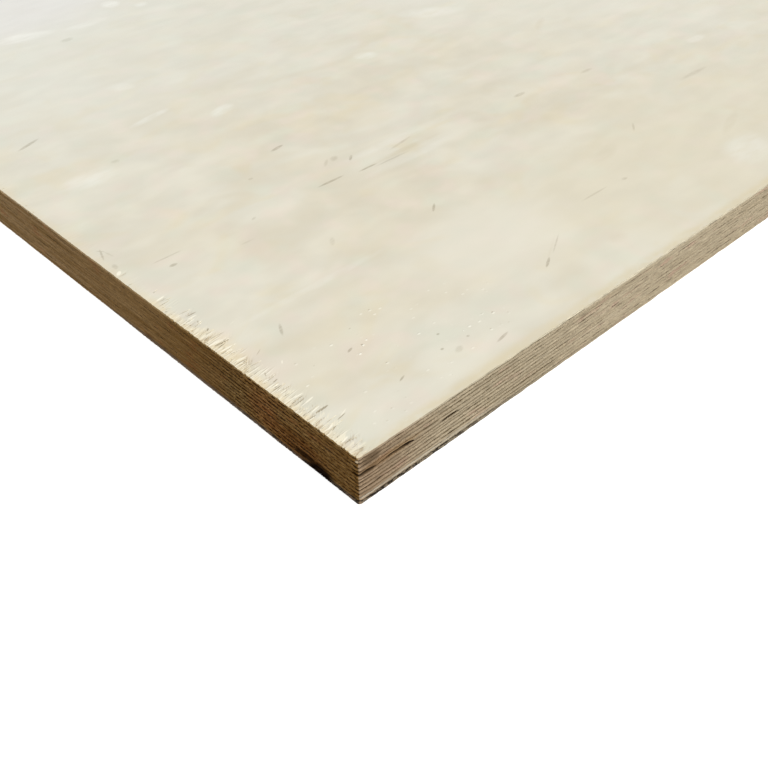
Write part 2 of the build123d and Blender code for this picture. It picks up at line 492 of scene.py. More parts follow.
# for the lip, painted highlight on the side towards the light, and the pit, painted shade on the side away
# from it: how far aside it lies, half its length, half its width
lit_lip_of_nick = (-0.3, 0.85, 0.46)
shaded_pit_of_nick = (0.28, 0.5, 0.32)


def nicks(tree, place):
    """The shares of the lip and the pit of the nicks, where the painted highlight and the painted shade go.
    """
    offset, draws = cells(tree, place, nick_cell)
    patch = between(tree, noise(tree, place, (55, 30, 0), 2, 0.5, 0.0, 43.0), 0.56, 0.7)
    patch = product(tree, patch, out_of_view(tree, place))
    patch = math(tree, "MAXIMUM", patch, marked(tree, place, [nick_patch], 0.1))
    clumps = between(tree, noise(tree, place, (10, 7, 0), 2, 0.5, 0.0, 61.0), 0.5, 0.6)
    chosen = product(tree, between(tree, draws[0], 0.45, 0.8), patch, clumps)
    ragged = product(tree, noise(tree, place, (0.6, 0.3, 0), 2, 0.6, 0.0, 45.0), 1.1)
    strengths = (between(tree, draws[1], 0.1, 0.6, 0.3, 1.0), between(tree, draws[2], 0.5, 0.9, 0.0, 1.0))
    shares = []
    for (aside, half_length, half_width), strength in zip((lit_lip_of_nick, shaded_pit_of_nick), strengths):
        scale, shift = (1 / half_length, 1 / half_width, 0), (0, -aside / half_width, 0)
        away = vector(tree, "LENGTH", vector(tree, "MULTIPLY_ADD", offset, scale, shift))
        edge = fading(tree, math(tree, "ADD", away, ragged), 0.95, 1.6)
        shares.append(product(tree, edge, chosen, strength))
    return shares


print(f"one cell in {nick_cell[0]} x {nick_cell[1]} mm can hold a nick")


# %% [markdown]
# Along its edges a veneer takes a warm tone from hands and weather, widest where the saw tore it most. The
# finest tears there are only colour: strokes along the grain, each the painted shade of a split with the
# painted highlight of a lifted fibre beside it. The largest follow the photograph, the rest a noise.

# %% Warm edges
worst_torn_place = 63.0
torn_from, torn_until = 3.0, 78.0
# the strokes from the noise: how far they lie aside, where in the noise they begin and are full, their
# strength, the sign of the listed strokes that go with them, and their tone
# the first row is painted shade in splits, the second painted highlights on lifted fibres
split_shade_strokes = (0.0, 0.57, 0.64, 0.36, 1, (0.25, 0.21, 0.14))
fibre_highlight_strokes = (0.62, 0.55, 0.63, 0.7, -1, (0.72, 0.68, 0.56))


def with_handling(tree, colour, place):
    """The warm tone that the veneer takes along its edges."""
    x, y, _ = separated(tree, place)
    from_end = from_nearer(tree, x, length)
    from_side = from_nearer(tree, y, width)
    uneven = between(tree, noise(tree, place, (7, 4, 0), 3, 0.6, 0.0, 11.0), 0.32, 0.6, 0.35, 1.0)
    from_worst = math(tree, "ABSOLUTE", math(tree, "SUBTRACT", y, worst_torn_place))
    reach = between(tree, from_worst, 5.0, 16.0, 10.0, 3.6)
    warm_end = fading(tree, math(tree, "DIVIDE", from_end, reach), 0.1, 1.0)
    warm_end = product(tree, warm_end, between(tree, y, 90.0, 108.0, 1.0, 0.35))
    warm_side = between(tree, from_side, 1.0, 4.5, 0.9, 0.0)
    colour = blend(tree, product(tree, warm_side, uneven, 0.75), colour, (0.52, 0.455, 0.31))
    return blend(tree, product(tree, warm_end, uneven, 0.85), colour, (0.585, 0.498, 0.332))


def with_tear_shade_and_highlights(tree, colour, place):
    """The finest tears, as strokes of painted shade and painted highlight."""
    x, y, _ = separated(tree, place)
    reach = between(tree, noise(tree, place, (0, 6, 0), 2, 0.6, 0.0, 53.0), 0.3, 0.7, 2.0, 9.0)
    zone = fading(tree, math(tree, "DIVIDE", from_nearer(tree, x, length), reach), 0.6, 1.1)
    most = between(tree, y, torn_until, torn_until + 20, 1.0, 0.12)
    zone = product(tree, zone, most, between(tree, y, torn_from, torn_from + 10, 0.35, 1.0))
    leant = math(tree, "SUBTRACT", product(tree, y, 1 / 0.6), product(tree, x, 0.24))
    seen = marked(tree, place, tear_shade_and_highlight_strokes)
    for shift, low, high, strength, sign, tone in (split_shade_strokes, fibre_highlight_strokes):
        stroke_place = combined(tree, x, math(tree, "ADD", leant, shift))
        strokes = noise(tree, stroke_place, (8, 1, 1), 1, 0.5, 0.15, 55.0)
        share = product(tree, zone, between(tree, strokes, low, high), strength)
        by_hand = between(tree, product(tree, seen, sign), 0.15, 0.65, 0.0, 0.8)
        colour = blend(tree, math(tree, "MAXIMUM", share, by_hand), colour, tone)
    return colour


print(f"worst torn at {worst_torn_place:.0f} mm from the corner")


# %% Three materials of birch
def attribute(tree, name):
    """A value that the mesh carries on its points."""
    return add(tree, "ShaderNodeAttribute", attribute_name=name).outputs["Fac"]


def bump(tree, shader, *reliefs):
    """Fine relief on the shader: one height after another, each with its depth in metres."""
    bent = {}
    for height, depth in reliefs:
        plugs = {"Height": height, "Distance": depth, "Strength": 1.0} | bent
        bent = {"Normal": add(tree, "ShaderNodeBump", plugs).outputs[0]}
    tree.links.new(bent["Normal"], shader.inputs["Normal"])


def face_of_birch(name, shown=True, rim=False):
    """Material of an outer veneer. Only the shown face has the marks of the photograph, and
    only its rim has the tears."""
    material, tree, shader, place = new_material(name)
    place = from_worn_corner(tree, place)
    colour = with_scattered_flecks(tree, birch(tree, place), place)
    reliefs = [(noise(tree, place, (5, 0.4, 1), 4, 0.65, 0.0, 15.0), 0.012 * MM)]
    if shown:
        colour = with_marks(tree, colour, place, rim)
        lip, shaded_pit = nicks(tree, place)
        # painted highlight on each nick's lip and painted shade in its pit, on the sides towards and away
        # from the light
        colour = blend(tree, product(tree, lip, 0.8), colour, (0.73, 0.71, 0.61))
        colour = blend(tree, product(tree, shaded_pit, 0.75), colour, (0.30, 0.245, 0.16))
        reliefs += [(math(tree, "SUBTRACT", lip, shaded_pit), 0.1 * MM)]
    if rim:
        colour = with_tear_shade_and_highlights(tree, with_handling(tree, colour, place), place)
        torn = attribute(tree, "torn")
        # painted shade where the tears pull wood out and a painted highlight where fibres are raised, over
        # their relief
        colour = blend(tree, between(tree, torn, 0.1, 0.9, 0.0, 0.6), colour, (0.28, 0.20, 0.11))
        colour = blend(tree, between(tree, torn, -0.1, -0.7, 0.0, 0.7), colour, (0.66, 0.61, 0.47))
    tree.links.new(colour, shader.inputs["Base Color"])
    rough = between(tree, noise(tree, place, (20, 6, 1), 2, 0.5, 0.0, 13.0), 0.3, 0.7, 0.42, 0.55)
    tree.links.new(rough, shader.inputs["Roughness"])
    bump(tree, shader, *reliefs)
    return material


face_material = face_of_birch("sanded_birch_face")
rim_material = face_of_birch("torn_rim_of_birch_face", rim=True)
back_material = face_of_birch("sanded_birch_back", shown=False)
for material in (face_material, rim_material, back_material):
    print(material.name, "has", len(material.node_tree.nodes), "nodes")

# %% [markdown]
# The sawn edges show wood cut two ways. A ply whose grain runs into the cut shows end grain, which drinks
# light and looks brown and pricked with pores; a ply that runs along the cut shows pale streaks. Between them
# lie the glue lines, dark brown resin that the saw has smeared. The end of this sheet is darker than its long
# edge, partly as most of its plies end there and partly as painted shade: its wood is coloured darker still,
# to the shade that the end stands in.
# The mesh tells the material two things: `lip`, 1 at a glue line and 0 in the middle of a ply,
# and `ends`, 1 on the cross-cut ends. The bruises are places from the worn corner.

# %% Grime and painted shade at the worn corner, in millimetres
bruise_mark_run = 100.0
bruise_mark_top = 2.0
# middle and reach of the near-black stain at the foot of the end, which is also the painted shadow in its
# breakout, and of its tail
stain_and_breakout_shadow = ((16.4, 0.7), (7.2, 4.2))
stain_and_breakout_shadow_tail = ((22.5, 3.1), (7.0, 1.7))
# soft spots, in the order that they are laid on: whether they are on the end or on the long
# side, middle and reach along and up, strength, tone, and whether the tone tints or covers
soft_spots = {
    "ruddy wood beside the stain": ("end", (26.0, 4.5), (15.0, 6.0), 0.8, (0.8, 0.62, 0.5), "tints"),
    "rosy wood": ("end", (41.0, 9.0), (8.0, 8.0), 0.8, (1.14, 0.98, 1.0), "tints"),
    "olive wood": ("end", (55.0, 6.0), (7.0, 9.0), 0.8, (1.0, 1.08, 1.15), "tints"),
    "warm wood beside the slits": ("side", (11.0, 12.2), (14.0, 1.7), 0.8, (0.9, 0.78, 0.62), "tints"),
    # the two slits below are painted shade: near-black ovals where the open glue line lies in shade
    "painted shade in the last slit": ("side", (35.2, 11.35), (4.8, 0.5), 0.85, (0.06, 0.038, 0.018), "covers"),
    "painted shade in the slit at the corner": ("side", (2.4, 11.75), (4.8, 0.65), 0.75, (0.04, 0.023, 0.01), "covers"),
    "chip at the corner": ("end", (0.7, 16.4), (0.7, 0.4), 0.6, (0.5, 0.42, 0.29), "covers"),
    # a dark patch under the good face near the corner
    "dark patch under the good face": ("side", (4.6, 15.5), (4.3, 2.5), 0.75, (0.10, 0.066, 0.036), "covers"),
}
print("soft spots:", ", ".join(soft_spots))


# %% Layers of grime and painted shade
def spot(tree, along, up, middle, reach):
    """A share that is 1 in the middle of a soft oval on an upright face and 0 outside it."""
    scale = (1 / reach[0], 1 / reach[1], 0)
    shift = (-middle[0] / reach[0], -middle[1] / reach[1], 0)
    away = vector(tree, "MULTIPLY_ADD", combined(tree, along, up), scale, shift)
    return fading(tree, vector(tree, "LENGTH", away), 0.45, 1.15)


def with_bruise(tree, colour, place, on_side, ragged):
    """The bruise along the foot of the long edge: crushed wood, black blots in it and a scraped
    pale line above."""
    x, _, z = separated(tree, place)
    run_out = fading(tree, x, bruise_mark_run, bruise_mark_run + 60)
    foot = fading(tree, z, bruise_mark_top - 0.7, bruise_mark_top)
    fewer = between(tree, x, 50.0, bruise_mark_run, 1.0, 0.35)
    crushed = product(tree, on_side, foot, fewer, run_out, between(tree, x, 0.3, 1.6))
    crumbs = between(tree, noise(tree, place, (1.3, 1.3, 0.9), 3, 0.7, 0.0, 57.0), 0.36, 0.6, 0.93, 0.5)
    colour = blend(tree, product(tree, crushed, crumbs), colour, (0.165, 0.138, 0.098))
    blots = product(tree, crushed, between(tree, ragged, 0.46, 0.52), between(tree, z, 1.4, 2.0, 1.0, 0.2))
    blots = product(tree, blots, fading(tree, x, 28.0, 70.0), 0.95)
    colour = blend(tree, blots, colour, (0.016, 0.013, 0.010))
    low = between(tree, z, bruise_mark_top - 0.2, bruise_mark_top + 0.15)
    high = fading(tree, z, bruise_mark_top + 0.5, bruise_mark_top + 1.0)
    scraped = product(tree, on_side, low, high, fading(tree, x, 45.0, 65.0))
    scraped = product(tree, scraped, between(tree, ragged, 0.3, 0.5, 0.3, 1.0), 0.65)
    return blend(tree, scraped, colour, (0.49, 0.44, 0.345))


def with_stain_and_breakout_shadow(tree, colour, place, on_end, ragged):
    """The foot of the cross-cut end, darker along the bottom, with its scratches and its near-black stain,
    which is also the painted shadow in the breakout.
    """
    _, y, z = separated(tree, place)
    # the foot of the end is made darker along the bottom
    darker_foot = product(tree, on_end, fading(tree, z, 0.9, 1.8), fading(tree, y, 90.0, 140.0))
    colour = blend(tree, product(tree, darker_foot, 0.65), colour, (0.14, 0.105, 0.078))
    scratched = product(tree, darker_foot, between(tree, y, 35.0, 70.0, 1.0, 0.25))
    scratched = product(tree, scratched, between(tree, ragged, 0.44, 0.54), 0.85)
    colour = blend(tree, scratched, colour, (0.022, 0.019, 0.014))
    # near-black oval: partly real stain, partly the painted shadow inside the breakout
    dark = math(tree, "MAXIMUM", spot(tree, y, z, *stain_and_breakout_shadow), product(tree, spot(tree, y, z, *stain_and_breakout_shadow_tail), 0.8))
    dark = product(tree, dark, on_end, between(tree, ragged, 0.2, 0.5, 0.75, 1.0), 0.98)
    return blend(tree, dark, colour, (0.004, 0.0015, 0.0006))


def with_grime_and_painted_shade(tree, colour, place, ends):
    """All the grime and painted shade: wood that is darker towards the corner, bruise, stain with the painted
    shadow of the breakout, and soft spots, two of them painted shade in the slits.
    """
    x, y, z = separated(tree, place)
    on_side = product(tree, math(tree, "SUBTRACT", 1.0, ends), fading(tree, y, 50.0, 100.0))
    on_end = product(tree, ends, fading(tree, x, 50.0, 100.0))
    ragged = noise(tree, place, (3.2, 3.2, 0.9), 3, 0.7, 0.0, 31.0)
    colour = tinted(tree, product(tree, on_side, fading(tree, x, 1.0, 42.0)), colour, (0.72, 0.62, 0.575))
    colour = tinted(tree, product(tree, on_end, fading(tree, y, 30.0, 190.0)), colour, (0.68, 0.58, 0.36))
    colour = with_bruise(tree, colour, place, on_side, ragged)
    colour = with_stain_and_breakout_shadow(tree, colour, place, on_end, ragged)
    for where, middle, reach, strength, tone, way in soft_spots.values():
        along, on_face = (x, on_side) if where == "side" else (y, on_end)
        share = product(tree, spot(tree, along, z, middle, reach), on_face, strength)
        colour = (tinted if way == "tints" else blend)(tree, share, colour, tone)
    return colour


print(f"the bruise is {bruise_mark_top:.0f} mm high and fades out by {bruise_mark_run + 60:.0f} mm")


# %% [markdown]
# Under the grime and the painted shade is plain wood. Its tone changes from ply to ply and slowly along the
# sheet, its grain is streaks or pores, and at the rough end short flakes of fibre carry a painted highlight.
# The resin of a glue line is drawn by `lip`, broken up by noise, and it is clear only near the
# worn corner, because further off the photograph shows the lines run together.

# %% Wood of the sawn edge
outer_ply = 1.3


def wood_of_plies(tree, place, ends):
    """The tone of the wood: paler on the long edge, darker on the end partly as end grain and partly as
    painted shade, ruddy in places, palest in the outer ply.
    """
    x, _, z = separated(tree, place)
    board = between(tree, noise(tree, place, (45, 45, 1.3), 2, 0.5, 0.0, 21.0), 0.3, 0.7)
    side_colour = blend(tree, board, (0.365, 0.30, 0.202), (0.425, 0.355, 0.246))
    # the end's colour is end grain and painted shade together
    end_colour_and_shade = blend(tree, board, (0.172, 0.102, 0.038), (0.24, 0.156, 0.074))
    colour = blend(tree, ends, side_colour, end_colour_and_shade)
    ruddy = between(tree, noise(tree, place, (14, 14, 4), 2, 0.5, 0.0, 27.0), 0.56, 0.72, 0.0, 0.6)
    colour = blend(tree, ruddy, colour, blend(tree, ends, (0.42, 0.285, 0.21), (0.215, 0.10, 0.042)))
    outer = between(tree, z, top / MM - outer_ply, top / MM - outer_ply + 0.5)
    outer = product(tree, outer, mixed(tree, ends, between(tree, x, 30.0, 90.0, 0.5, 1.0), 0.8))
    return blend(tree, outer, colour, blend(tree, ends, (0.60, 0.535, 0.395), (0.42, 0.31, 0.175)))


def with_flake_highlights(tree, colour, place, ends, lip):
    """Short flakes of fibre that the saw left on the cross-cut end, near the worn corner: a pale, cool
    painted highlight on the flakes and darker wood between them.
    """
    near = between(tree, separated(tree, place)[1], 50.0, 80.0, 1.0, 0.12)
    rough_sawn = product(tree, ends, near, between(tree, lip, 0.0, 0.5, 0.35, 1.0))
    flakes = between(tree, noise(tree, place, (1.9, 1.9, 0.4), 3, 0.65, 0.0, 49.0), 0.4, 0.6)
    flake_highlight_tone = blend(tree, flakes, (0.55, 0.47, 0.37), (1.7, 1.85, 2.4))
    return times(tree, colour, blend(tree, rough_sawn, (1, 1, 1), flake_highlight_tone))


def with_glue_lines(tree, colour, place, ends, lip):
    """The resin of the glue lines, unbroken on the long edge and in dashes on the end."""
    x, y, _ = separated(tree, place)
    wander = noise(tree, place, (2.2, 2.2, 0.8), 3, 0.65, 0.0, 29.0)
    clear_side = between(tree, x, 45.0, 120.0, 0.85, 0.08)
    clear_end = product(tree, between(tree, y, 50.0, 85.0, 1.0, 0.04), between(tree, y, 5.0, 25.0, 0.65, 1.0))
    line_side = product(tree, between(tree, lip, 0.05, 0.8), between(tree, wander, 0.32, 0.58, 0.45, 1.0))
    line_end = product(tree, between(tree, lip, 0.12, 0.62), between(tree, wander, 0.42, 0.52, 0.1, 1.0))
    line = product(tree, mixed(tree, ends, line_side, line_end), mixed(tree, ends, clear_side, clear_end))
    return blend(tree, line, colour, blend(tree, ends, (0.10, 0.07, 0.036), (0.036, 0.014, 0.004)))


print(f"the wood of the edges is palest above {top / MM - outer_ply:.1f} mm")


# %% Two sawn edges and the glued side
def sawn_edge(name, grain_along_sheet):
    """Material of the sawn edge of a ply, for either run of its grain."""
    material, tree, shader, place = new_material(name)
    place = from_worn_corner(tree, place)
    ends, lip = attribute(tree, "ends"), attribute(tree, "lip")
    end_grain = ends if grain_along_sheet else math(tree, "SUBTRACT", 1.0, ends)
    streaks = noise(tree, place, (5, 5, 0.3), 3, 0.6, 0.0, 23.0)
    pores = noise(tree, place, (0.6, 0.6, 0.6), 3, 0.7, 0.0, 25.0)
    grain = (between(tree, streaks, 0.3, 0.7, 0.62, 1.25), between(tree, pores, 0.3, 0.65, 0.68, 1.15))
    colour = times(tree, wood_of_plies(tree, place, ends), mixed(tree, end_grain, *grain))
    colour = with_flake_highlights(tree, colour, place, ends, lip)
    colour = with_glue_lines(tree, colour, place, ends, lip)
    colour = with_grime_and_painted_shade(tree, colour, place, ends)
    tree.links.new(colour, shader.inputs["Base Color"])
    shader.inputs["Roughness"].default_value = 0.9
    shader.inputs["Specular IOR Level"].default_value = 0.01
    bump(tree, shader, (streaks, 0.1 * MM), (pores, 0.14 * MM))
    return material


long_ply_material = sawn_edge("sawn_edge_of_long_ply", True)
cross_ply_material = sawn_edge("sawn_edge_of_cross_ply", False)
glue_pattern = ((6, 6, 1), 3, 0.6, 0.0, 33.0)
glue_tones = ((0.03, 0.017, 0.007), (0.09, 0.056, 0.026))
glue_material, glue_shader = two_toned("glued_side_of_ply", glue_pattern, (0.35, 0.65), glue_tones, 0.7)
glue_shader.inputs["Specular IOR Level"].default_value = 0.15
print("edge material has", len(long_ply_material.node_tree.nodes), "nodes")

# %% [markdown]
# Every veneer starts as a blank: the sheet's outline, stepped finely where the photograph comes
# close and coarsely where it doesn't, and repeated as rings. Some rings climb the sawn edge,
# and on the two outer veneers more of them run inwards across the face, so that there is mesh
# to tear. The outline is the same for all plies; only the worn corners differ, ply by ply.

# %% Stations round the outline
close_up = 215 * MM
fine_step_end = 0.3 * MM
fine_step_side = 0.4 * MM
coarse_step = 2.5 * MM
step_growth = 1.06


def stations(span, fine_step):
    """Places along a side from its near corner: fine over the close-up, then coarser and coarser."""
    places = [0.0]
    step = fine_step
    while places[-1] < span:
        if places[-1] > close_up:
            step = min(step * step_growth, coarse_step)
        places.append(places[-1] + step)
    return np.array(places) * span / places[-1]


def outline_points():
    """The square-cornered outline, counter-clockwise from the worn corner, with the direction
    into the sheet at each point and a share that is 1 on the cross-cut ends."""
    along_near = stations(length, fine_step_side)[:-1]
    across_far = np.arange(0, width, coarse_step)
    along_far = np.arange(0, length, coarse_step)
    across_near = stations(width, fine_step_end)[:0:-1]
    sides = [
        (sheet_low.x + along_near, np.full(len(along_near), sheet_low.y), (0, 1), 0),
        (np.full(len(across_far), sheet_high.x), sheet_low.y + across_far, (-1, 0), 1),
        (sheet_high.x - along_far, np.full(len(along_far), sheet_high.y), (0, -1), 0),
        (np.full(len(across_near), sheet_low.x), sheet_low.y + across_near, (1, 0), 1),
    ]
    points = np.concatenate([np.column_stack(side[:2]) for side in sides])
    inward = np.concatenate([np.tile(side[2], (len(side[0]), 1)) for side in sides]).astype(float)
    ends = np.concatenate([np.full(len(side[0]), side[3]) for side in sides]).astype(float)
    return points, inward, ends


outline, outline_inward, outline_ends = outline_points()
print(len(outline), "stations round the sheet")

# %% Worn corners
corner_wear = 0.6 * MM
near_corner_wear = 1.3 * MM
near_corner_wear_shares = (0.8, 1.0, 0.5, 0.85, 0.45, 0.9, 0.5, 0.7, 0.35, 0.8, 0.4, 0.75, 0.5)


def worn_outline(near_radius):
    """The outline and its inward directions with the four corners rounded."""
    points = outline.copy()
    inward = outline_inward.copy()
    for corner_x, towards_x in ((sheet_low.x, 1), (sheet_high.x, -1)):
        for corner_y, towards_y in ((sheet_low.y, 1), (sheet_high.y, -1)):
            near = corner_x < 0 and corner_y < 0
            radius = near_radius if near else corner_wear
            from_x = (outline[:, 0] - corner_x) * towards_x
            from_y = (outline[:, 1] - corner_y) * towards_y
            bent = (from_x < radius) & (from_y < radius)
            angle = ((from_x - from_y)[bent] / radius + 1) * radians(45)
            points[bent, 0] = corner_x + towards_x * radius * (1 - np.cos(angle))
            points[bent, 1] = corner_y + towards_y * radius * (1 - np.sin(angle))
            inward[bent, 0] = towards_x * np.cos(angle)
            inward[bent, 1] = towards_y * np.sin(angle)
    return points, inward


wear = [round(share * near_corner_wear / MM, 2) for share in near_corner_wear_shares]
print("radius of the worn corner, ply by ply:", wear)

# %% [markdown]
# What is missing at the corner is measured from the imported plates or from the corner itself:
# the tears are read off the face veneer's own notches, so they stay where the construction has
# them; the opened glue line lifts the foot of one ply in three flat lenses; and the bruise and
# the breakout push the lowest plies back.

# %% Tears read off the face veneer
tear_length = 8.0 * MM
tear_width = 1.1 * MM
tear_depth = 0.45 * MM
tear_lean = 0.06


def read_tears():
    """Where each tear starts on the near end and how large it is, as a share of the largest."""
    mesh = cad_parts["face_veneer"].data
    places = np.array([vertex.co for vertex in mesh.vertices])
    middle = (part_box("face_veneer")[0].z + top) / 2
    on_end = places[:, 0] < sheet_low.x + tear_depth / 10
    bottoms = places[on_end & (places[:, 2] > middle) & (places[:, 2] < top - tear_depth / 10)]
    return sorted({(round(y, 6), round((top - z) / tear_depth, 3)) for _, y, z in bottoms})


def torn_depth(x, y):
    """Share of the full tear depth at points of the good face."""
    share = np.zeros(len(x))
    from_end = x - sheet_low.x
    for start, size in tears:
        run = from_end / (size * tear_length)
        deep = (0.35 + 0.65 * np.clip(run / 0.6, 0, 1)) * np.clip((1.1 - run) / 0.3, 0, 1)
        aside = np.abs(y - start - tear_lean * from_end) / (tear_width / 2)
        share = np.maximum(share, (0.4 + 0.6 * size) * deep * np.clip(1 - aside, 0, 1))
    return share


tears = read_tears()
print(len(tears), "tears read off the face veneer")

# %% The open glue line
slit_ply = "long_ply_09"
slit_height = 1.0 * MM
slit_reach = 3.0 * MM
slit_wrap = 3.2 * MM
# where each slit starts and ends along the near long edge, and its height as a share
slits = ((-6.5 * MM, 6.5 * MM, 1.0), (9.75 * MM, 21.1 * MM, 0.95), (32.0 * MM, 39.0 * MM, 0.6))
# how far the glue line under the open ply strays from level, at places along that edge
stray_places = np.array([0, 6.5, 10, 15, 21, 32, 39, 60]) * MM
stray_heights = np.array([-0.5, -0.2, 0.3, -0.15, -0.6, -0.55, -0.65, 0]) * MM
stray_reach_up = 1.6 * MM
stray_reach_end = 3 * MM
open_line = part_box(slit_ply)[0].z


def slit_lift(x, y, ends, inset):
    """How far the opened glue line lifts the underside of its ply: along the near long edge,
    and round the corner for a little way up the end."""
    lift = np.zeros(len(x))
    for first, last, height in slits:
        share = np.clip((x - sheet_low.x - first) / (last - first), 0, 1) ** (1 if first < 0 else 1.4)
        lift = np.maximum(lift, height * np.sqrt(np.clip(4 * share * (1 - share), 0, 1)))
    lift = lift * (y < 0) * (1 - ends)
    wrapped = (ends > 0) & (x < 0) & (y < sheet_low.y + slit_wrap)
    lift = np.where(wrapped, 1 - ((y - sheet_low.y) / slit_wrap) ** 2, lift)
    return slit_height * lift * max(0.0, 1 - inset / slit_reach)


def stray(x, y, z, ends):
    """How far the plies round the open glue line stray up or down near the worn corner."""
    near = np.exp(-((z - open_line) / stray_reach_up) ** 2) * (x < 0) * (y < 0)
    on_end = np.exp(-(y - sheet_low.y) / stray_reach_end) * stray_heights[0]
    return near * np.where(ends > 0, on_end, np.interp(x - sheet_low.x, stray_places, stray_heights))


print(f"the open glue line lies at {open_line / MM:.2f} mm, with {len(slits)} slits")

# %% Breakout, bruise and worn arris
breakout_middle = 17.5 * MM
breakout_half_width = 5.5 * MM
breakout_height = 4.6 * MM
breakout_depth = 0.12 * MM
breakout_drift = 8.0 * MM
bruise_length = 80 * MM
bruise_height = 2.6 * MM
bruise_depth = 0.05 * MM
arris_wear = 0.25 * MM
arris_wear_run = 5 * MM
arris_wear_height = 0.9 * MM


def push_back(x, y, z, ends):
    """How far the breakout, the bruise and the wear of the upper arris have pushed the wood in."""
    left = np.clip(1 - z / breakout_height, 0, 1)
    middle = sheet_low.y + breakout_middle + breakout_drift * (1 - left)
    aside = np.abs(y - middle) / breakout_half_width
    breakout = breakout_depth * np.clip(left - aside, 0, 1) * ends * (x < 0)
    near_side = (1 - ends) * (y < 0)
    along = np.clip(1 - (x - sheet_low.x) / bruise_length, 0, 1)
    bruise = bruise_depth * np.clip(along - z / bruise_height, 0, 1) * near_side
    upper = np.clip((z - top + arris_wear_height) / arris_wear_height, 0, 1) ** 2
    arris = arris_wear * np.exp(-(x - sheet_low.x) / arris_wear_run) * upper * near_side
    return breakout + bruise + arris


print(f"breakout {breakout_height / MM:.1f} mm high, bruise {bruise_length / MM:.0f} mm long")

# %% Rings of a ply
wall_shares = (0.0, 0.15, 0.5, 0.85, 1.0)
wall_lips = (1.0, 0.4, 0.0, 0.4, 1.0)
plain_insets = (4.0 * MM,)
slit_insets = (1.2 * MM, 3.0 * MM)
torn_insets = (0.3, 0.7, 1.2, 1.8, 2.5, 3.3, 4.2, 5.2, 6.3, 7.5, 8.8, 10.3, 12.0, 14.0)
torn_insets = tuple(inset * MM for inset in torn_insets)
back_insets = (0.8 * MM, 2.5 * MM, 6.0 * MM)
assert torn_insets[-1] == rim_width


def outer_arris(node, share):
    """Whether a ring is an outer arris of the sheet, where no glue line is."""
    return (node == "back_veneer" and share < 0.5) or (node == "face_veneer" and share > 0.5)


def rings_of(node):
    """Rings of one ply from the middle of its underside, over the wall, to the middle of its
    upper side: share of its height, distance in from the outline, and lip. Then the numbers of
    the first and the last ring of the wall."""
    under = {"back_veneer": back_insets, slit_ply: slit_insets}.get(node, plain_insets)
    upper = torn_insets if node == "face_veneer" else plain_insets
    rings = [(0.0, inset, 0.0) for inset in reversed(under)]
    rings += [(share, 0.0, lip) for share, lip in zip(wall_shares, wall_lips)]
    rings += [(1.0, inset, 0.0) for inset in upper]
    rings = [(share, inset, 0.0 if outer_arris(node, share) else lip) for share, inset, lip in rings]
    return rings, len(under), len(under) + len(wall_shares) - 1


print("rings of each ply:", {node: len(rings_of(node)[0]) for node in plies})

# %% One blank
follow_reach = 1.5 * MM


def carry(mesh, name, kind, domain, values):
    """Stores one value for each point or face on the mesh."""
    layer = mesh.attributes.new(name, kind, domain)
    layer.data.foreach_set("vector" if kind == "FLOAT_VECTOR" else "value", values.ravel())


def ring_places(node, points, inward, share, inset):
    """The points of one ring, and how torn each is."""
    foot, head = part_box(node)[0].z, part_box(node)[1].z
    x = points[:, 0] * (1 - 2 * inset / length)
    y = points[:, 1] * (1 - 2 * inset / width)
    follow = np.exp(-inset / follow_reach)
    lift = slit_lift(x, y, outline_ends, inset) * (node == slit_ply)
    z = foot + lift + share * (head - foot - lift)
    z = z + stray(x, y, z, outline_ends) * follow
    back = push_back(x, y, z, outline_ends) * follow
    tear = torn_depth(x, y) * share * (node == "face_veneer")
    return np.column_stack([x + inward[:, 0] * back, y + inward[:, 1] * back, z - tear * tear_depth]), tear


def blank(node, near_radius):
    """The mesh of one ply before the saw: rings round the outline, closed above and below."""
    points, inward = worn_outline(near_radius)
    rings, first_wall, last_wall = rings_of(node)
    count = len(points)
    tearing = node == "face_veneer"
    made = [ring_places(node, points, inward, share, inset) for share, inset, _ in rings]
    follows = [np.exp(-inset / follow_reach) for _, inset, _ in rings]
    faces, sawn, rim = [], [], []
    for ring in range(len(rings) - 1):
        low, high = ring * count, (ring + 1) * count
        faces += [(low + i, low + (i + 1) % count, high + (i + 1) % count, high + i) for i in range(count)]
        sawn += [first_wall <= ring < last_wall] * count
        rim += [tearing and ring >= last_wall] * count
    faces += [tuple(range(count - 1, -1, -1)), tuple(range((len(rings) - 1) * count, len(rings) * count))]
    mesh = bpy.data.meshes.new(node + "_blank")
    mesh.from_pydata(np.concatenate([places for places, _ in made]).tolist(), [], faces)
    on_points = {
        "lip": [lip for _, _, lip in rings],
        "give": [share * tearing for share, _, _ in rings],
    }
    for name, values in on_points.items():
        carry(mesh, name, "FLOAT", "POINT", np.repeat(values, count).astype(float))
    directions = [np.column_stack([inward * follow, np.zeros(count)]) for follow in follows]
    carry(mesh, "inward", "FLOAT_VECTOR", "POINT", np.concatenate(directions))
    carry(mesh, "ends", "FLOAT", "POINT", np.tile(outline_ends, len(rings)))
    carry(mesh, "torn", "FLOAT", "POINT", np.concatenate([tear for _, tear in made]))
    carry(mesh, "sawn", "BOOLEAN", "FACE", np.array(sawn + [False, False]))
    carry(mesh, "rim", "BOOLEAN", "FACE", np.array(rim + [False, False]))
    return mesh


print("points of each blank:", {node: len(rings_of(node)[0]) * len(outline) for node in plies})


# %% [markdown]
# The saw's work is one rule for all thirteen plies, so it is one Geometry Nodes tree: each
# point of the edge is pushed into the sheet by a slow wander of the whole ply, by fibres that
# are short and deep in end grain and long and shallow in side grain, and by the groove that a
# blade wears along a glue line. On the face veneer the same tree pulls out fine tears along the
# cross-cut ends, worst near the worn corner, and keeps how torn each point is, for the material.
# Each ply has its own seed.

